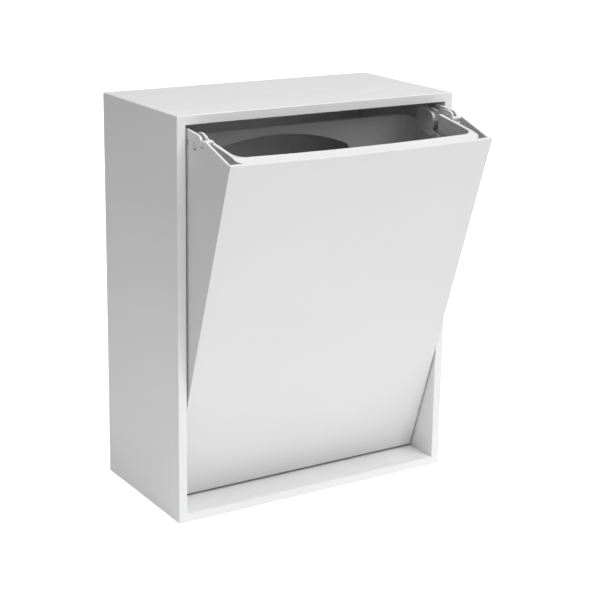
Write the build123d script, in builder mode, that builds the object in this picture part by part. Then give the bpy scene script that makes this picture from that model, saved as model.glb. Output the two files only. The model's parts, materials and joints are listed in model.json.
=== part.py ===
from build123d import *

import os

# A wall-hung or free-standing waste-sorting box. A cabinet, open at the front, holds a
# front that tips out at the top on two pins. A clip-in rear shell with an arched cut-out
# closes the tipping bin, and a hinged frame holds the rim of a bag.
#
# Millimetres. X runs to the right as seen from the front, Y from the front to the back and
# Z up. The origin is the centre of the cabinet's underside. Every piece that tips is drawn
# where it is with the front shut, on planes of the HOPPER frame, which is itself tipped
# open about the pins, so the model stands open.

# ------------------------------------------------------------------ driving dimensions
WIDTH = 320.0
DEPTH = 160.0
HEIGHT = 410.0
WALL = 9.2  # sides, top and bottom of the cabinet
OPEN_ANGLE = 18.25  # how far the front tips out, degrees

FRONT = -DEPTH / 2
BACK = DEPTH / 2
INSIDE_X = WIDTH / 2 - WALL
CEILING = HEIGHT - WALL
FLOOR = WALL

# pins that the front tips on
PIVOT_Y = FRONT + 21.5
PIVOT_Z = 129.0
PIN_R = 4.0
PIN_HEAD_R = 7.0
PIN_SOCKET_DEPTH = 7.5
PIN_RUNNING_GAP = 0.07
BUSH_R = 6.0
BUSH_FLANGE_R = 8.5

# rear panel, set into the cabinet from behind against a ledge
PANEL_INNER_Y = BACK - 9.2
PANEL_SHEET = 3.2
LEDGE_WIDTH = 6.0
LEDGE_DEPTH = 5.0
SCREW_R = 1.25
SCREW_HEAD_R = 2.6

# wall fixing
HANGER_X = 100.0
HANGER_Z = 381.0
HANGER_SHEET = 1.5
RIVET_STEP = 17.0
WALL_HOLE_Z = 60.0
WALL_HOLE_R = 2.6

# tipping front
FRONT_SHEET = 3.0
CHEEK_SHEET = 2.8
CHEEK_OUTER_X = 149.0
CHEEK_INNER_X = CHEEK_OUTER_X - CHEEK_SHEET
FACE_Y = FRONT + 1.2
FACE_BOTTOM = 11.6
FACE_TOP = 396.0
CROWN = 3.0  # how far the face bows outward across its top edge
LIP_R = 0.9
EDGE_R = 0.6
CHEEK_TOP = 395.0
CHEEK_REAR_Y = 16.0
CHEEK_SWEEP_R = 268.8  # the cheeks' rear tops clear the ceiling on this radius about the pins
NOTCH_Y = (-27.8, -21.8)
NOTCH_BOTTOM = 385.4
NOTCH_SHOULDER_R = 5.5
SNAP_TONGUE = (-12.5, 381.0)  # y, z
SNAP_TONGUE_R = 1.7
SNAP_SLOT_WIDTH = 1.6
DETENT_HOLE = (1.4, 379.2)  # y, z
DETENT_HOLE_R = 2.4

# rear shell of the bin
SHELL_OUTER_X = 145.9
SHELL_SHEET = 2.4
SHELL_FRONT_Y = -20.0
SHELL_REAR_Y = 48.4
SHELL_BOTTOM = 14.9
SHELL_TOP = 360.5
EAR_INNER_X = 136.9
EAR_SHEET = 3.4
EAR_Y = (2.0, 33.0)
EAR_TOP = 381.6
SHELL_HEEL_R = 46.0
SHELL_CORNER_R = 16.4
ARCH_X = -22.0  # the cut-out stands off centre
ARCH_HALF_WIDTH = 93.5
ARCH_SPRING_Z = 331.0
ARCH_TOP_Z = 351.4
ARCH_BOTTOM_Z = 140.0
SHELL_SCREWS = ((-5.0, 45.0), (-5.0, 240.0))  # y, z

# bag frame and its hinge
FRAME_HINGE_Y = 12.5
FRAME_HINGE_Z = 373.5
FRAME_PIN_R = 2.0
FRAME_OUTER_X = 138.8
FRAME_INNER_X = 134.8
FRAME_FRONT_Y = -75.0
FRAME_BAR_DEPTH = 10.2
FRAME_REAR_Y = -7.0
FRAME_HEIGHT = 9.0
FRAME_CORNER_R = (9.0, 11.0)  # outer, inner
FRAME_SKIN = 2.1
SKIRT_HEIGHT = 16.0
BRACKET_X = (140.6, 143.1)
BRACKET_TOP = 389.5
BRACKET_CREST = 394.4  # the crest behind the step, just low enough to pass under the ceiling
KNUCKLE_R = 10.8

# rubber stops
STOP_X = 80.0
STOP_Z = 83.4
STOP_THICKNESS = 3.8
CLOSING_X = 118.0
CLOSING_Z = 270.0
STOP_GAP = 0.3

SIDES = (("left", -1), ("right", 1))

CABINET = Plane.XY
HOPPER = Plane(
    Location((0, PIVOT_Y, PIVOT_Z), (OPEN_ANGLE, 0, 0)) * Location((0, -PIVOT_Y, -PIVOT_Z))
)


# ------------------------------------------------------------------ planes
def level(frame, z):
    """A plane at height z in a frame, with sketch axes X and Y."""
    return frame.offset(z)


def side(frame, x):
    """An upright plane at x that faces +X, with sketch axes Y and Z."""
    origin = frame.from_local_coords(Vector(x, 0, 0))
    return Plane(origin=origin, x_dir=frame.y_dir, z_dir=frame.x_dir)


def facing(frame, y):
    """An upright plane at y that faces the front, with sketch axes X and Z."""
    origin = frame.from_local_coords(Vector(0, y, 0))
    return Plane(origin=origin, x_dir=frame.x_dir, z_dir=frame.y_dir * -1)


def save(builder, name):
    """Label a finished piece and write its STEP file."""
    builder.part.label = name
    export_step(builder.part, f"parts/{name}.step")


def cross_bar(frame, y, z, radius, x_from, x_to, mode=Mode.ADD):
    """A round bar along X between two values of x, inside the piece being built."""
    with BuildSketch(side(frame, x_from)) as disc:
        with Locations((y, z)):
            Circle(radius)
    extrude(disc.sketch, amount=x_to - x_from, mode=mode)


def depth_bar(x, z, radius, y_from, y_to, mode=Mode.ADD):
    """A round bar along Y between two values of y, inside the piece being built."""
    with BuildSketch(facing(CABINET, y_from)) as disc:
        with Locations((x, z)):
            Circle(radius)
    extrude(disc.sketch, amount=y_from - y_to, mode=mode)


def cheek_rim(builder):
    """The edges along the tops of the cheeks, on both faces of their sheets."""
    found = ShapeList()
    for edge in builder.edges():
        places = [HOPPER.to_local_coords(edge.position_at(t)) for t in (0, 0.5, 1)]
        across = max(place.X for place in places) - min(place.X for place in places)
        lowest = min(place.Z for place in places)
        rearmost = max(place.Y for place in places)
        if across < 0.01 and lowest > NOTCH_BOTTOM - 1 and rearmost > FACE_Y + FRONT_SHEET + 1:
            found.append(edge)
    return found


# ------------------------------------------------------------------ cabinet
LEDGE_MID = LEDGE_WIDTH / 2
PANEL_SCREWS = [(sign * (INSIDE_X - LEDGE_MID), z) for sign in (-1, 1) for z in (30, HEIGHT / 2, HEIGHT - 30)]
PANEL_SCREWS += [(0, FLOOR + LEDGE_MID), (0, CEILING - LEDGE_MID)]


def inner_opening(margin, clearance=0.0):
    """The cabinet's clear opening in X and Z, less a margin all round."""
    with Locations((0, HEIGHT / 2)):
        Rectangle(2 * (INSIDE_X - margin - clearance), CEILING - FLOOR - 2 * (margin + clearance))


def make_cabinet_shell():
    with BuildPart() as cabinet_shell:
        with BuildSketch(facing(CABINET, FRONT)):
            with Locations((0, HEIGHT / 2)):
                Rectangle(WIDTH, HEIGHT)
        extrude(amount=-DEPTH)
        fillet(cabinet_shell.edges().filter_by(Axis.Y), radius=1.6)
        fillet(cabinet_shell.faces().sort_by(Axis.Y)[0].edges(), radius=0.7)
        fillet(cabinet_shell.faces().sort_by(Axis.Y)[-1].edges(), radius=0.7)
        with BuildSketch(facing(CABINET, FRONT)):
            inner_opening(0)
        extrude(amount=-(PANEL_INNER_Y - LEDGE_DEPTH - FRONT), mode=Mode.SUBTRACT)
        with BuildSketch(facing(CABINET, FRONT)):
            inner_opening(LEDGE_WIDTH)
        extrude(amount=-DEPTH, mode=Mode.SUBTRACT)
        with BuildSketch(facing(CABINET, BACK)):
            inner_opening(0)
        extrude(amount=BACK - PANEL_INNER_Y, mode=Mode.SUBTRACT)
        rim = cabinet_shell.faces().sort_by(Axis.Y)[0].inner_wires()[0].edges()
        fillet(rim, radius=0.5)
        for x, z in PANEL_SCREWS:
            depth_bar(x, z, SCREW_R + 0.05, PANEL_INNER_Y - LEDGE_DEPTH, PANEL_INNER_Y, Mode.SUBTRACT)
        for _, sign in SIDES:
            wall_x = sign * INSIDE_X
            socket_end = sign * (INSIDE_X + PIN_SOCKET_DEPTH)
            cross_bar(CABINET, PIVOT_Y, PIVOT_Z, PIN_R, wall_x, socket_end, Mode.SUBTRACT)
    save(cabinet_shell, "cabinet_shell")


def make_rear_panel():
    outer_y = PANEL_INNER_Y + PANEL_SHEET
    with BuildPart() as rear_panel:
        with BuildSketch(facing(CABINET, PANEL_INNER_Y)):
            inner_opening(0, clearance=0.2)
        extrude(amount=-PANEL_SHEET)
        for _, sign in SIDES:
            depth_bar(sign * HANGER_X, WALL_HOLE_Z, 7.0, outer_y, BACK - 0.2)
        # shallow pressed ribs stiffen the sheet between the wall fixings
        with BuildSketch(facing(CABINET, outer_y)):
            with Locations((0, 130), (0, 205), (0, 280)):
                SlotOverall(240, 8)
        extrude(amount=-1.6)
        for x, z in PANEL_SCREWS:
            depth_bar(x, z, SCREW_R + 0.3, PANEL_INNER_Y, outer_y, Mode.SUBTRACT)
        for _, sign in SIDES:
            depth_bar(sign * HANGER_X, WALL_HOLE_Z, WALL_HOLE_R, PANEL_INNER_Y, BACK, Mode.SUBTRACT)
            depth_bar(sign * STOP_X, STOP_Z, 2.05, PANEL_INNER_Y, outer_y, Mode.SUBTRACT)
            depth_bar(sign * CLOSING_X, CLOSING_Z, 2.05, PANEL_INNER_Y, outer_y, Mode.SUBTRACT)
            for step in (-RIVET_STEP, RIVET_STEP):
                rivet_x = sign * HANGER_X + step
                depth_bar(rivet_x, HANGER_Z, 1.65, PANEL_INNER_Y, outer_y, Mode.SUBTRACT)
            with BuildSketch(facing(CABINET, PANEL_INNER_Y)):
                with Locations((sign * HANGER_X, HANGER_Z)):
                    SlotCenterToCenter(6, 13, rotation=90)
            extrude(amount=-PANEL_SHEET, mode=Mode.SUBTRACT)
    save(rear_panel, "rear_panel")


def make_rear_panel_screws():
    outer_y = PANEL_INNER_Y + PANEL_SHEET
    with BuildPart() as rear_panel_screws:
        for x, z in PANEL_SCREWS:
            depth_bar(x, z, SCREW_R, PANEL_INNER_Y - LEDGE_DEPTH + 0.4, outer_y + 0.5)
            depth_bar(x, z, SCREW_HEAD_R, outer_y, outer_y + 1.9)
        heads = rear_panel_screws.faces().filter_by(Plane.XZ).group_by(Axis.Y)[-1]
        fillet(heads.edges(), radius=0.7)
        with BuildSketch(facing(CABINET, outer_y + 1.9)):
            with Locations(*PANEL_SCREWS):
                Rectangle(3.0, 0.7)
                Rectangle(0.7, 3.0)
        extrude(amount=0.9, mode=Mode.SUBTRACT)
    save(rear_panel_screws, "rear_panel_screws")


def make_wall_hanger(name, sign):
    plate_y = PANEL_INNER_Y + PANEL_SHEET
    with BuildPart() as wall_hanger:
        with BuildSketch(facing(CABINET, plate_y)):
            with Locations((sign * HANGER_X, HANGER_Z)):
                RectangleRounded(46, 25, 5)
            with Locations((sign * HANGER_X, HANGER_Z - 4)):
                Circle(5.0, mode=Mode.SUBTRACT)
            with Locations((sign * HANGER_X, HANGER_Z)):
                SlotCenterToCenter(8, 5.2, rotation=90, mode=Mode.SUBTRACT)
            with Locations(*[(sign * HANGER_X + step, HANGER_Z) for step in (-RIVET_STEP, RIVET_STEP)]):
                Circle(1.65, mode=Mode.SUBTRACT)
        extrude(amount=-HANGER_SHEET)
    save(wall_hanger, f"wall_hanger_{name}")


def make_wall_hanger_rivets():
    plate_y = PANEL_INNER_Y + PANEL_SHEET + HANGER_SHEET
    with BuildPart() as wall_hanger_rivets:
        for _, sign in SIDES:
            for step in (-RIVET_STEP, RIVET_STEP):
                x = sign * HANGER_X + step
                depth_bar(x, HANGER_Z, 1.6, PANEL_INNER_Y - 0.5, plate_y + 0.5)
                depth_bar(x, HANGER_Z, 2.6, PANEL_INNER_Y - 0.9, PANEL_INNER_Y)
                depth_bar(x, HANGER_Z, 3.2, plate_y, plate_y + 1.1)
    save(wall_hanger_rivets, "wall_hanger_rivets")


def make_pivot_pin(name, sign):
    with BuildPart() as pivot_pin:
        inner = sign * (CHEEK_INNER_X - 1.5)
        cross_bar(CABINET, PIVOT_Y, PIVOT_Z, PIN_R - 0.02, inner, sign * (INSIDE_X + PIN_SOCKET_DEPTH - 0.1))
        cross_bar(CABINET, PIVOT_Y, PIVOT_Z, PIN_HEAD_R, sign * (CHEEK_INNER_X - 3.4), inner)
        chamfer(pivot_pin.faces().sort_by(Axis.X)[-1 if sign > 0 else 0].edges(), length=0.6)
        head = pivot_pin.faces().sort_by(Axis.X)[0 if sign > 0 else -1]
        fillet(head.edges(), radius=0.8)
    save(pivot_pin, f"pivot_pin_{name}")


def make_stop_buffer(name, sign):
    with BuildPart() as stop_buffer:
        x = sign * STOP_X
        depth_bar(x, STOP_Z, 6.0, PANEL_INNER_Y - STOP_THICKNESS, PANEL_INNER_Y)
        chamfer(stop_buffer.faces().sort_by(Axis.Y)[0].edges(), length=0.8)
        depth_bar(x, STOP_Z, 2.0, PANEL_INNER_Y, PANEL_INNER_Y + PANEL_SHEET + 1.2)
    save(stop_buffer, f"stop_buffer_{name}")


def make_closing_buffer(name, sign):
    with BuildPart() as closing_buffer:
        x = sign * CLOSING_X
        depth_bar(x, CLOSING_Z, 5.0, SHELL_REAR_Y + STOP_GAP, PANEL_INNER_Y)
        chamfer(closing_buffer.faces().sort_by(Axis.Y)[0].edges(), length=0.8)
        depth_bar(x, CLOSING_Z, 7.0, PANEL_INNER_Y - 1.6, PANEL_INNER_Y)
        depth_bar(x, CLOSING_Z, 2.0, PANEL_INNER_Y, PANEL_INNER_Y + PANEL_SHEET + 1.2)
    save(closing_buffer, f"closing_buffer_{name}")


def make_floor_glide(name, sign):
    with BuildPart() as floor_glide:
        with BuildSketch(level(CABINET, FLOOR)):
            with Locations((sign * 106.0, FRONT + 21.0)):
                SlotOverall(14.0, 3.0, rotation=90)
        extrude(amount=0.4)
        fillet(floor_glide.faces().sort_by(Axis.Z)[-1].edges(), radius=0.3)
    save(floor_glide, f"floor_glide_{name}")


# ------------------------------------------------------------------ tipping front
def cheek_outline():
    """The side of the tipping front, in Y and Z, with its notch and its swept rear top."""
    notch_front, notch_rear = NOTCH_Y
    above = CHEEK_TOP + 8
    with BuildLine() as outline:
        FilletPolyline(
            (FACE_Y + 1.0, FACE_BOTTOM),
            (CHEEK_REAR_Y, FACE_BOTTOM),
            (CHEEK_REAR_Y, above),
            (notch_rear, above),
            (notch_rear, NOTCH_BOTTOM),
            (notch_front, NOTCH_BOTTOM),
            (notch_front, CHEEK_TOP),
            (FACE_Y + 1.0, CHEEK_TOP),
            close=True,
            radius=[0.2, 26, 0.2, 0.2, 1.8, 1.8, 1.2, 0.2],
        )
    make_face(outline.edges())
    with Locations((PIVOT_Y, PIVOT_Z)):
        Circle(CHEEK_SWEEP_R, mode=Mode.INTERSECT)


def snap_tongue_slot():
    """A U-shaped slot that frees a small snap tongue near the cheek's rear top."""
    outer_r = SNAP_TONGUE_R + SNAP_SLOT_WIDTH
    with Locations(SNAP_TONGUE):
        Circle(outer_r)
        Rectangle(2 * outer_r, 3.6, align=(Align.CENTER, Align.MIN))
        Circle(SNAP_TONGUE_R, mode=Mode.SUBTRACT)
        Rectangle(2 * SNAP_TONGUE_R, 4.0, align=(Align.CENTER, Align.MIN), mode=Mode.SUBTRACT)


def make_tilt_front():
    with BuildPart() as tilt_front:
        # the face is straight along its foot and bows outward across its top
        for z, crown in ((FACE_BOTTOM, 0.05), (FACE_TOP, CROWN)):
            rear_y = FACE_Y + FRONT_SHEET
            with BuildSketch(level(HOPPER, z)):
                with BuildLine():
                    ThreePointArc((-CHEEK_OUTER_X, FACE_Y), (0, FACE_Y - crown), (CHEEK_OUTER_X, FACE_Y))
                    Line((CHEEK_OUTER_X, FACE_Y), (CHEEK_OUTER_X, rear_y))
                    ThreePointArc((CHEEK_OUTER_X, rear_y), (0, rear_y - crown), (-CHEEK_OUTER_X, rear_y))
                    Line((-CHEEK_OUTER_X, rear_y), (-CHEEK_OUTER_X, FACE_Y))
                make_face()
        loft()
        foot = tilt_front.faces().sort_by(Axis(HOPPER.origin, HOPPER.z_dir))[0].edges()
        fillet(foot.sort_by(Axis(HOPPER.origin, HOPPER.y_dir))[0], radius=1.2)
        lip = tilt_front.faces().sort_by(Axis(HOPPER.origin, HOPPER.z_dir))[-1].edges()
        fillet(lip.sort_by(Axis(HOPPER.origin, HOPPER.y_dir))[0], radius=LIP_R)
        for _, sign in SIDES:
            with BuildSketch(side(HOPPER, sign * CHEEK_INNER_X)) as outline:
                cheek_outline()
                corners = outline.vertices().sort_by_distance((NOTCH_Y[1], CHEEK_TOP, 0))
                fillet(corners[0], radius=NOTCH_SHOULDER_R)
            extrude(amount=sign * CHEEK_SHEET)
        fillet(cheek_rim(tilt_front), radius=EDGE_R)
        with BuildSketch(level(HOPPER, FACE_BOTTOM)):
            floor_rear = CHEEK_REAR_Y - 26
            with Locations((0, (FACE_Y + 1.5 + floor_rear) / 2)):
                Rectangle(2 * CHEEK_OUTER_X - 1, floor_rear - FACE_Y - 1.5)
        extrude(amount=CHEEK_SHEET)
        for _, sign in SIDES:
            inner = sign * CHEEK_INNER_X
            outer = sign * CHEEK_OUTER_X
            for y, z in SHELL_SCREWS:
                cross_bar(HOPPER, y, z, SCREW_R + 0.05, inner, outer - sign * 0.6, Mode.SUBTRACT)
            cross_bar(HOPPER, PIVOT_Y, PIVOT_Z, BUSH_R, inner, outer, Mode.SUBTRACT)
            cross_bar(HOPPER, FRAME_HINGE_Y, FRAME_HINGE_Z, FRAME_PIN_R + 0.05, inner, outer, Mode.SUBTRACT)
            with BuildSketch(side(HOPPER, inner)):
                snap_tongue_slot()
            extrude(amount=sign * CHEEK_SHEET, mode=Mode.SUBTRACT)
            cross_bar(HOPPER, *DETENT_HOLE, DETENT_HOLE_R, inner, outer, Mode.SUBTRACT)
            cross_bar(HOPPER, *SNAP_TONGUE, 0.9, sign * (CHEEK_OUTER_X - 0.2), outer + sign * 0.5)
    save(tilt_front, "tilt_front")


def make_pivot_bush(name, sign):
    with BuildPart() as pivot_bush:
        cross_bar(HOPPER, PIVOT_Y, PIVOT_Z, BUSH_R - 0.03, sign * CHEEK_INNER_X, sign * (CHEEK_OUTER_X + 0.5))
        cross_bar(HOPPER, PIVOT_Y, PIVOT_Z, BUSH_FLANGE_R, sign * (CHEEK_INNER_X - 1.0), sign * CHEEK_INNER_X)
        bore = PIN_R - 0.02 + PIN_RUNNING_GAP
        span = (sign * (CHEEK_INNER_X - 2), sign * (CHEEK_OUTER_X + 2))
        cross_bar(HOPPER, PIVOT_Y, PIVOT_Z, bore, *span, Mode.SUBTRACT)
    save(pivot_bush, f"pivot_bush_{name}")


def ear_outline():
    """The hinge ear from the side, in Y and Z, with a rounded front shoulder."""
    front_y, rear_y = EAR_Y
    foot = SHELL_TOP - SHELL_SHEET
    with BuildLine() as outline:
        FilletPolyline(
            (front_y, foot),
            (front_y, EAR_TOP),
            (rear_y, EAR_TOP),
            (rear_y - 8, foot),
            close=True,
            radius=[0.2, 6.5, 5.0, 0.2],
        )
    make_face(outline.edges())


def tub(inset):
    """The rear shell's rounded block, shrunk by an inset except at its front and top."""
    half = SHELL_OUTER_X - inset
    rear_y = SHELL_REAR_Y - inset
    overshoot = 4 * inset
    with BuildPart() as block:
        with BuildSketch(side(HOPPER, -half)) as profile:
            with BuildLine():
                Polyline(
                    (SHELL_FRONT_Y - overshoot, SHELL_BOTTOM + inset),
                    (rear_y, SHELL_BOTTOM + inset),
                    (rear_y, SHELL_TOP + overshoot),
                    (SHELL_FRONT_Y - overshoot, SHELL_TOP + overshoot),
                    close=True,
                )
            make_face()
            heel = profile.vertices().sort_by_distance((rear_y, SHELL_BOTTOM, 0))[0]
            fillet(heel, radius=SHELL_HEEL_R - inset)
        extrude(amount=2 * half)
        rear = Axis(HOPPER.from_local_coords(Vector(0, rear_y, HEIGHT / 2)), HOPPER.y_dir)
        upright = block.edges().filter_by(Axis(rear.position, HOPPER.z_dir))
        fillet(upright.sort_by(rear)[-2:], radius=SHELL_CORNER_R - inset)
    return block.part


def make_bin_rear_shell():
    outer = tub(0)
    inner = tub(SHELL_SHEET)
    with BuildPart() as bin_rear_shell:
        add(outer)
        add(inner, mode=Mode.SUBTRACT)
        with BuildSketch(facing(HOPPER, SHELL_REAR_Y + 2)) as arch:
            left = ARCH_X - ARCH_HALF_WIDTH
            right = ARCH_X + ARCH_HALF_WIDTH
            with BuildLine():
                ThreePointArc((left, ARCH_SPRING_Z), (ARCH_X, ARCH_TOP_Z), (right, ARCH_SPRING_Z))
                Line((right, ARCH_SPRING_Z), (right, ARCH_BOTTOM_Z))
                Line((right, ARCH_BOTTOM_Z), (left, ARCH_BOTTOM_Z))
                Line((left, ARCH_BOTTOM_Z), (left, ARCH_SPRING_Z))
            make_face()
            fillet(arch.vertices(), radius=7.0)
        extrude(amount=SHELL_SHEET + 4, mode=Mode.SUBTRACT)
        for _, sign in SIDES:
            # an ear for the bag frame's hinge stands inboard of each side, on a small shelf
            ear_inner = sign * EAR_INNER_X
            with BuildSketch(side(HOPPER, ear_inner)):
                ear_outline()
            extrude(amount=sign * EAR_SHEET)
            shelf_width = SHELL_OUTER_X - 1 - EAR_INNER_X
            shelf_depth = EAR_Y[1] - EAR_Y[0] - 8
            with BuildSketch(level(HOPPER, SHELL_TOP - SHELL_SHEET)):
                with Locations((ear_inner + sign * shelf_width / 2, EAR_Y[0] + shelf_depth / 2)):
                    Rectangle(shelf_width, shelf_depth)
            extrude(amount=SHELL_SHEET)
            for y, z in SHELL_SCREWS:
                across = (sign * (SHELL_OUTER_X - 5), sign * (SHELL_OUTER_X + 2))
                cross_bar(HOPPER, y, z, SCREW_R + 0.3, *across, Mode.SUBTRACT)
            across = (ear_inner - sign, ear_inner + sign * (EAR_SHEET + 1))
            cross_bar(HOPPER, FRAME_HINGE_Y, FRAME_HINGE_Z, FRAME_PIN_R + 0.05, *across, Mode.SUBTRACT)
    save(bin_rear_shell, "bin_rear_shell")


def make_rear_shell_screws():
    inner = SHELL_OUTER_X - SHELL_SHEET
    with BuildPart() as rear_shell_screws:
        for _, sign in SIDES:
            for y, z in SHELL_SCREWS:
                cross_bar(HOPPER, y, z, SCREW_R, sign * (inner - 0.5), sign * (CHEEK_INNER_X + 1.8))
                cross_bar(HOPPER, y, z, SCREW_HEAD_R, sign * (inner - 1.8), sign * inner)
    save(rear_shell_screws, "rear_shell_screws")


def make_bag_frame_pin(name, sign):
    with BuildPart() as bag_frame_pin:
        span = (sign * (EAR_INNER_X + 0.2), sign * (CHEEK_OUTER_X + 0.3))
        cross_bar(HOPPER, FRAME_HINGE_Y, FRAME_HINGE_Z, FRAME_PIN_R, *span)
        head = (sign * CHEEK_OUTER_X, sign * (CHEEK_OUTER_X + 0.9))
        cross_bar(HOPPER, FRAME_HINGE_Y, FRAME_HINGE_Z, 3.6, *head)
    save(bag_frame_pin, f"bag_frame_pin_{name}")


# ------------------------------------------------------------------ bag frame
def frame_plan(outer_x, front, outer_r, rear=FRAME_REAR_Y):
    """The bag frame from above: a U that is open at the back, out to a given outline."""
    inner_x = FRAME_INNER_X
    inner = FRAME_FRONT_Y + FRAME_BAR_DEPTH
    inner_r = FRAME_CORNER_R[1]
    bow = CROWN * 0.85
    with BuildLine() as outline:
        Line((outer_x, rear), (outer_x, front + outer_r))
        CenterArc((outer_x - outer_r, front + outer_r), outer_r, 0, -90)
        ThreePointArc((outer_x - outer_r, front), (0, front - bow), (outer_r - outer_x, front))
        CenterArc((outer_r - outer_x, front + outer_r), outer_r, 270, -90)
        Line((-outer_x, front + outer_r), (-outer_x, rear))
        Line((-outer_x, rear), (-inner_x, rear))
        Line((-inner_x, rear), (-inner_x, inner + inner_r))
        CenterArc((inner_r - inner_x, inner + inner_r), inner_r, 180, 90)
        ThreePointArc((inner_r - inner_x, inner), (0, inner - bow), (inner_x - inner_r, inner))
        CenterArc((inner_x - inner_r, inner + inner_r), inner_r, 270, 90)
        Line((inner_x, inner + inner_r), (inner_x, rear))
        Line((inner_x, rear), (outer_x, rear))
    make_face(outline.edges())


def front_hollow_plan():
    """The hollow under the frame's front bar, from above."""
    half = FRAME_OUTER_X - FRAME_CORNER_R[0] - 8
    front = FRAME_FRONT_Y + FRAME_SKIN
    inner = FRAME_FRONT_Y + FRAME_BAR_DEPTH - FRAME_SKIN
    bow = CROWN * 0.8
    with BuildLine() as outline:
        ThreePointArc((-half, front), (0, front - bow), (half, front))
        Line((half, front), (half, inner))
        ThreePointArc((half, inner), (0, inner - bow), (-half, inner))
        Line((-half, inner), (-half, front))
    make_face(outline.edges())


def frame_side(drop, height):
    """The bag frame from the side: level along its front bar, then falling to the rear."""
    with BuildLine() as outline:
        Polyline(
            (-90.0, 393.6 - drop),
            (-65.0, 395.6 - drop),
            (-58.0, 395.0 - drop),
            (FRAME_REAR_Y, 387.2 - drop),
            (FRAME_REAR_Y - height * 0.38, 387.2 - drop - height),
            (-58.0, 395.0 - drop - height),
            (-65.0, 395.6 - drop - height),
            (-90.0, 393.6 - drop - height),
            close=True,
        )
    make_face(outline.edges())


def cut_to_side(plan, drop, height):
    """A plan of the frame raised into a part and cut to the frame's side view."""
    with BuildPart() as channel:
        with BuildSketch(level(HOPPER, FRAME_HINGE_Z - 12)):
            plan()
        extrude(amount=44)
        with BuildSketch(side(HOPPER, -CHEEK_OUTER_X)):
            frame_side(drop, height)
        extrude(amount=2 * CHEEK_OUTER_X, mode=Mode.INTERSECT)
    return channel.part


def bracket_outline():
    """The frame's side bracket in Y and Z: a step, a crest, and a slope back to the knuckle."""
    with BuildLine() as outline:
        Line((-28.0, 382.5), (-28.0, BRACKET_TOP - 2.0))
        RadiusArc((-28.0, BRACKET_TOP - 2.0), (-26.0, BRACKET_TOP), 2.0)
        Line((-26.0, BRACKET_TOP), (-21.4, BRACKET_TOP))
        Line((-21.4, BRACKET_TOP), (-20.6, BRACKET_CREST - 2.4))
        ThreePointArc((-20.6, BRACKET_CREST - 2.4), (-19.6, BRACKET_CREST - 0.6), (-17.6, BRACKET_CREST))
        Line((-17.6, BRACKET_CREST), (-11.6, BRACKET_CREST - 0.2))
        ThreePointArc((-11.6, BRACKET_CREST - 0.2), (-3.4, 391.0), (4.0, 385.0))
        Line((4.0, 385.0), (FRAME_HINGE_Y, FRAME_HINGE_Z + KNUCKLE_R))
        Line((FRAME_HINGE_Y, FRAME_HINGE_Z + KNUCKLE_R), (FRAME_HINGE_Y, FRAME_HINGE_Z - KNUCKLE_R))
        Line((FRAME_HINGE_Y, FRAME_HINGE_Z - KNUCKLE_R), (-2.0, 377.0))
        Line((-2.0, 377.0), (-28.0, 382.5))
    make_face(outline.edges())
    with Locations((FRAME_HINGE_Y, FRAME_HINGE_Z)):
        Circle(KNUCKLE_R)
        Circle(FRAME_PIN_R + PIN_RUNNING_GAP, mode=Mode.SUBTRACT)


def make_bag_frame():
    inner_y = FRAME_FRONT_Y + FRAME_BAR_DEPTH
    outer_r, inner_r = FRAME_CORNER_R
    skirt_x = FRAME_INNER_X + FRAME_SKIN
    ring = cut_to_side(lambda: frame_plan(FRAME_OUTER_X, FRAME_FRONT_Y, outer_r), 0, FRAME_HEIGHT)
    hollow = cut_to_side(front_hollow_plan, FRAME_SKIN, FRAME_HEIGHT)
    skirt = cut_to_side(
        lambda: frame_plan(skirt_x, inner_y - FRAME_SKIN, inner_r + FRAME_SKIN), 1, SKIRT_HEIGHT - 1
    )
    near, far = BRACKET_X
    with BuildPart() as bag_frame:
        add(ring)
        add(hollow, mode=Mode.SUBTRACT)
        add(skirt)
        for _, sign in SIDES:
            with BuildSketch(side(HOPPER, sign * near)):
                bracket_outline()
            extrude(amount=sign * (far - near))
            # the foot joins the arm to the bracket and rests in the cheek's notch
            with BuildSketch(side(HOPPER, sign * (FRAME_OUTER_X - 1))):
                with Locations((-24.8, 390.1)):
                    RectangleRounded(4.4, 5.6, 1.4)
            extrude(amount=sign * (148.7 - FRAME_OUTER_X + 1))
    save(bag_frame, "bag_frame")


# ------------------------------------------------------------------ all pieces
os.makedirs("parts", exist_ok=True)
make_cabinet_shell()
make_rear_panel()
make_rear_panel_screws()
make_wall_hanger_rivets()
make_tilt_front()
make_bin_rear_shell()
make_rear_shell_screws()
make_bag_frame()
for side_name, side_sign in SIDES:
    make_wall_hanger(side_name, side_sign)
    make_pivot_pin(side_name, side_sign)
    make_pivot_bush(side_name, side_sign)
    make_stop_buffer(side_name, side_sign)
    make_closing_buffer(side_name, side_sign)
    make_floor_glide(side_name, side_sign)
    make_bag_frame_pin(side_name, side_sign)
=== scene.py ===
import json
import math

import bpy
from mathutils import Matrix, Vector


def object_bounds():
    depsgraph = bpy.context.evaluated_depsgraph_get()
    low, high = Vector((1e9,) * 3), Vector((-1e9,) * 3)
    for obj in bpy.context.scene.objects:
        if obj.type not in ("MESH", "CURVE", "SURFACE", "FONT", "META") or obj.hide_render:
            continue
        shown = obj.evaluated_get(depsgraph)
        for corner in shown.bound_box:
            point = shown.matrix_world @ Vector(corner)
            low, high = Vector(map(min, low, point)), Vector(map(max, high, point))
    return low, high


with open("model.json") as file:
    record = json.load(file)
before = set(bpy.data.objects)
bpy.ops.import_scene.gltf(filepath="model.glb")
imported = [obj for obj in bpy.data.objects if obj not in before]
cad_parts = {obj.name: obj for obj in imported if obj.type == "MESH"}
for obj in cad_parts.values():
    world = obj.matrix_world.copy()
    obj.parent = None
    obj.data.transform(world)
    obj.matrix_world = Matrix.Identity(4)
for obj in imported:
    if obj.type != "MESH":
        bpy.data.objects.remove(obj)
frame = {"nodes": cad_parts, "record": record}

CAD_LOW, CAD_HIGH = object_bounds()

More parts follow.
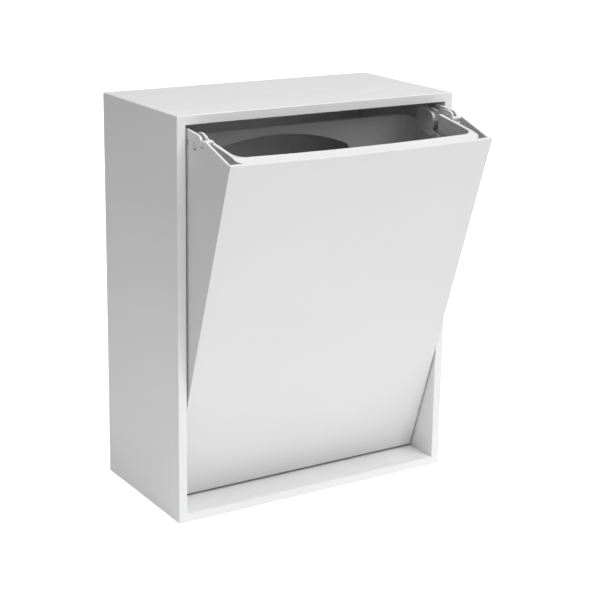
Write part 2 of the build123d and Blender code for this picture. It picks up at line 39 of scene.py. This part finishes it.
# ---------------------------------------------------------------- camera
# The view of a product photograph: a long lens, a little above the box and to its left.
CAMERA_PLACE = (-0.828, -1.361, 0.659)
CAMERA_TURN = (74.67, -0.82, -31.93)  # degrees
CAMERA_LENS = 94.3  # millimetres, as the sensor width is
SENSOR_WIDTH = 36.0
CAMERA_SHIFT_Y = -0.05

# ---------------------------------------------------------------- light
WHITE = (1.0, 1.0, 1.0, 1.0)
ROOM_LIGHT = 0.12
BACKDROP_LIGHT = 1.05
FLOOR_SIZE = 24.0
FLOOR_TONES = (0.93, 0.95)
GLOW_REACH = (0.30, 1.3)  # metres along the floor from the box's middle
FLOOR_GLOW = (0.39, 0.10)  # the light it adds to the box, at both ends of that reach
FLOOR_GLOW_SEEN = (0.74, 1.05)  # how bright the paper looks there
SOFTBOXES = (
    # name, place, size, power; all are aimed at the box's middle
    ("top_softbox", (0.1, -0.75, 2.45), 1.8, 54.0),
    ("front_softbox", (0.6, -2.4, 1.9), 1.6, 22.0),
)

# ---------------------------------------------------------------- finishes
GREY_SHELL = (0.80, 0.80, 0.805)
PLASTICS = (
    # material slot, shade of the grey (set part by part to how light each part looks, so mostly
    # painted light and shade: darker on the front, shell and frame, lighter on the rear panel),
    # roughness, strength of the fine grain
    ("cabinet_plastic", 1.0, 0.42, 0.3),
    ("panel_plastic", 1.05, 0.5, 0.3),
    ("front_plastic", 0.90, 0.42, 0.3),
    ("shell_plastic", 0.86, 0.4, 0.2),
    ("frame_plastic", 0.90, 0.36, 0.15),
    ("bush_plastic", 1.06, 0.3, 0.1),
)
CLOUD_SHADES = (0.985, 1.01)  # the plastic's faint uneven colour
# how much lighter the edges are painted: part wear, part painted highlight
EDGE_WEAR_AND_HIGHLIGHT_SHADE = 1.05
GLOSS_SPREAD = 0.035
PLASTIC_IOR = 1.49
EDGE_RADIUS = 0.0006
EDGE_SAMPLES = 6
SHARP_EDGE = 0.75  # cosine of the turn at which an edge gets its full lighter colour, part wear and part painted highlight
ZINC_COLOURS = ((0.56, 0.57, 0.58), (0.70, 0.71, 0.70))
RUBBER_COLOURS = ((0.022, 0.022, 0.023), (0.05, 0.05, 0.05))

# A mix node's sockets, which share names, so they go by number.
FACTOR = 0
FLOAT_INPUTS, FLOAT_RESULT = (2, 3), 0
COLOUR_INPUTS, COLOUR_RESULT = (6, 7), 2


# ---------------------------------------------------------------- studio
def make_camera():
    data = bpy.data.cameras.new("camera")
    data.lens = CAMERA_LENS
    data.sensor_width = SENSOR_WIDTH
    data.shift_y = CAMERA_SHIFT_Y
    camera = bpy.data.objects.new("camera", data)
    camera.location = CAMERA_PLACE
    camera.rotation_euler = [math.radians(turn) for turn in CAMERA_TURN]
    bpy.context.scene.collection.objects.link(camera)
    bpy.context.scene.camera = camera


def make_softboxes():
    middle = (CAD_LOW + CAD_HIGH) / 2
    for name, place, size, power in SOFTBOXES:
        data = bpy.data.lights.new(name, "AREA")
        data.shape = "SQUARE"
        data.size = size
        data.energy = power
        lamp = bpy.data.objects.new(name, data)
        lamp.location = place
        lamp.rotation_mode = "QUATERNION"
        lamp.rotation_quaternion = (middle - Vector(place)).to_track_quat("-Z", "Y")
        bpy.context.scene.collection.objects.link(lamp)


def make_backdrop():
    """Plain white to look at, but it lights the box only softly."""
    world = bpy.data.worlds.new("studio")
    world.use_nodes = True
    tree = world.node_tree
    background = tree.nodes["Background"]
    background.inputs["Color"].default_value = WHITE
    ray = tree.nodes.new("ShaderNodeLightPath")
    strength = tree.nodes.new("ShaderNodeMapRange")
    strength.inputs["To Min"].default_value = ROOM_LIGHT
    strength.inputs["To Max"].default_value = BACKDROP_LIGHT
    tree.links.new(ray.outputs["Is Camera Ray"], strength.inputs["Value"])
    tree.links.new(strength.outputs["Result"], background.inputs["Strength"])
    bpy.context.scene.world = world
    bpy.context.scene.view_settings.view_transform = "Standard"


def make_floor():
    half = FLOOR_SIZE / 2
    corners = [(-half, -half, 0), (half, -half, 0), (half, half, 0), (-half, half, 0)]
    mesh = bpy.data.meshes.new("floor")
    mesh.from_pydata(corners, [], [(0, 1, 2, 3)])
    floor = bpy.data.objects.new("floor", mesh)
    bpy.context.scene.collection.objects.link(floor)
    mesh.materials.append(floor_material())


# ---------------------------------------------------------------- materials
class Nodes:
    """A material's node tree, with a short way to add nodes and links."""

    def __init__(self, name):
        self.material = bpy.data.materials.new(name)
        self.material.use_nodes = True
        self.tree = self.material.node_tree
        self.shader = self.tree.nodes["Principled BSDF"]

    def add(self, kind, **settings):
        node = self.tree.nodes.new(kind)
        for key, value in settings.items():
            setattr(node, key, value)
        return node

    def link(self, source, target):
        self.tree.links.new(source, target)

    def ramp(self, value, start, end, low=0.0, high=1.0):
        """A value stretched so that it runs from low to high between start and end."""
        node = self.add("ShaderNodeMapRange")
        node.inputs["From Min"].default_value = start
        node.inputs["From Max"].default_value = end
        node.inputs["To Min"].default_value = low
        node.inputs["To Max"].default_value = high
        self.link(value, node.inputs["Value"])
        return node.outputs["Result"]

    def noise(self, scale, detail):
        """Noise fixed to the object, with features about 1 / scale metres across."""
        place = self.add("ShaderNodeTexCoord")
        noise = self.add("ShaderNodeTexNoise")
        noise.inputs["Scale"].default_value = scale
        noise.inputs["Detail"].default_value = detail
        self.link(place.outputs["Object"], noise.inputs["Vector"])
        return noise.outputs["Fac"]

    def clouds(self, scale, detail, low=0.0, high=1.0):
        """The middle of a noise value's range, stretched to run from low to high."""
        return self.ramp(self.noise(scale, detail), 0.3, 0.7, low, high)

    def mix(self, factor, first, second):
        """Blend two colours, either of which may be the output of another node."""
        node = self.add("ShaderNodeMix", data_type="RGBA")
        self.link(factor, node.inputs[FACTOR])
        for number, colour in zip(COLOUR_INPUTS, (first, second)):
            if isinstance(colour, tuple):
                node.inputs[number].default_value = (*colour, 1.0)
            else:
                self.link(colour, node.inputs[number])
        return node.outputs[COLOUR_RESULT]

    def edges(self):
        """How far the surface turns close by: 0 on a flat, 1 on a sharp edge."""
        bevel = self.add("ShaderNodeBevel", samples=EDGE_SAMPLES)
        bevel.inputs["Radius"].default_value = EDGE_RADIUS
        flat = self.add("ShaderNodeNewGeometry")
        product = self.add("ShaderNodeVectorMath", operation="DOT_PRODUCT")
        self.link(bevel.outputs["Normal"], product.inputs[0])
        self.link(flat.outputs["Normal"], product.inputs[1])
        return self.ramp(product.outputs["Value"], 1.0, SHARP_EDGE), bevel.outputs["Normal"]

    def bump(self, height, distance, strength, normal=None):
        node = self.add("ShaderNodeBump")
        node.inputs["Distance"].default_value = distance
        node.inputs["Strength"].default_value = strength
        self.link(height, node.inputs["Height"])
        if normal is not None:
            self.link(normal, node.inputs["Normal"])
        return node.outputs["Normal"]

    def finish(self, colour, roughness, normal):
        """Plug a colour, a roughness and a bumped normal into the shader."""
        self.link(colour, self.shader.inputs["Base Color"])
        self.link(roughness, self.shader.inputs["Roughness"])
        self.link(normal, self.shader.inputs["Normal"])
        return self.material


def shade(colour, factor):
    return tuple(min(1.0, channel * factor) for channel in colour)


def moulded_plastic(name, colour, roughness, grain):
    """Satin moulded plastic: a fine spark-eroded grain, faint flow marks, and edges a little
    lighter in colour, part rubbed wear and part painted highlight.
    """
    nodes = Nodes(name)
    wear_and_highlight, soft_normal = nodes.edges()
    dull, bright = (shade(colour, factor) for factor in CLOUD_SHADES)
    base = nodes.mix(nodes.clouds(scale=7.0, detail=4.0), dull, bright)
    # sharp edges are painted a little lighter: part wear, part painted highlight
    edged = nodes.mix(wear_and_highlight, base, shade(colour, EDGE_WEAR_AND_HIGHLIGHT_SHADE))
    gloss = nodes.clouds(55.0, 3.0, low=roughness - GLOSS_SPREAD, high=roughness + GLOSS_SPREAD)
    flow = nodes.bump(nodes.noise(18.0, 1.0), distance=0.0004, strength=0.12, normal=soft_normal)
    fine = nodes.bump(nodes.noise(1900.0, 2.0), distance=0.00006, strength=grain, normal=flow)
    nodes.shader.inputs["IOR"].default_value = PLASTIC_IOR
    return nodes.finish(edged, gloss, fine)


def zinc_steel(name):
    """Bright zinc plating: a cloudy crystal bloom over fine roughness."""
    nodes = Nodes(name)
    base = nodes.mix(nodes.clouds(scale=260.0, detail=4.0), *ZINC_COLOURS)
    gloss = nodes.clouds(900.0, 3.0, low=0.24, high=0.40)
    fine = nodes.bump(nodes.noise(1500.0, 3.0), distance=0.00003, strength=0.25)
    nodes.shader.inputs["Metallic"].default_value = 1.0
    return nodes.finish(base, gloss, fine)


def rubber(name):
    """Matt black rubber with a dusty bloom."""
    nodes = Nodes(name)
    base = nodes.mix(nodes.clouds(scale=320.0, detail=5.0), *RUBBER_COLOURS)
    gloss = nodes.clouds(700.0, 2.0, low=0.62, high=0.8)
    fine = nodes.bump(nodes.noise(2400.0, 3.0), distance=0.00005, strength=0.35)
    return nodes.finish(base, gloss, fine)


def floor_material():
    """White paper that looks plain to its far edge, but lights the box mostly from close by."""
    nodes = Nodes("floor_paper")
    tones = [(tone, tone, tone) for tone in FLOOR_TONES]
    base = nodes.mix(nodes.clouds(scale=3.0, detail=2.0), *tones)
    nodes.link(base, nodes.shader.inputs["Base Color"])
    nodes.shader.inputs["Roughness"].default_value = 0.9
    nodes.shader.inputs["Emission Color"].default_value = WHITE
    place = nodes.add("ShaderNodeTexCoord")
    reach = nodes.add("ShaderNodeVectorMath", operation="LENGTH")
    nodes.link(place.outputs["Object"], reach.inputs[0])
    ray = nodes.add("ShaderNodeLightPath")
    strength = nodes.add("ShaderNodeMix", data_type="FLOAT")
    nodes.link(ray.outputs["Is Camera Ray"], strength.inputs[FACTOR])
    for number, glow in zip(FLOAT_INPUTS, (FLOOR_GLOW, FLOOR_GLOW_SEEN)):
        nodes.link(nodes.ramp(reach.outputs["Value"], *GLOW_REACH, *glow), strength.inputs[number])
    nodes.link(strength.outputs[FLOAT_RESULT], nodes.shader.inputs["Emission Strength"])
    return nodes.material


def dress_nodes():
    """Give every CAD node the finish of its material slot."""
    finishes = {}
    for slot, tone, roughness, grain in PLASTICS:
        # the tone shades each part's grey, which paints light and shade into its colour
        finishes[slot] = moulded_plastic(slot, shade(GREY_SHELL, tone), roughness, grain)
    finishes["steel"] = zinc_steel("zinc_steel")
    finishes["rubber"] = rubber("rubber")
    slots = {part["node"]: part["material_slot"] for part in frame["record"]["subparts"]}
    for name, node in frame["nodes"].items():
        for place in node.material_slots:
            place.material = finishes[slots[name]]


make_camera()
make_softboxes()
make_backdrop()
make_floor()
dress_nodes()
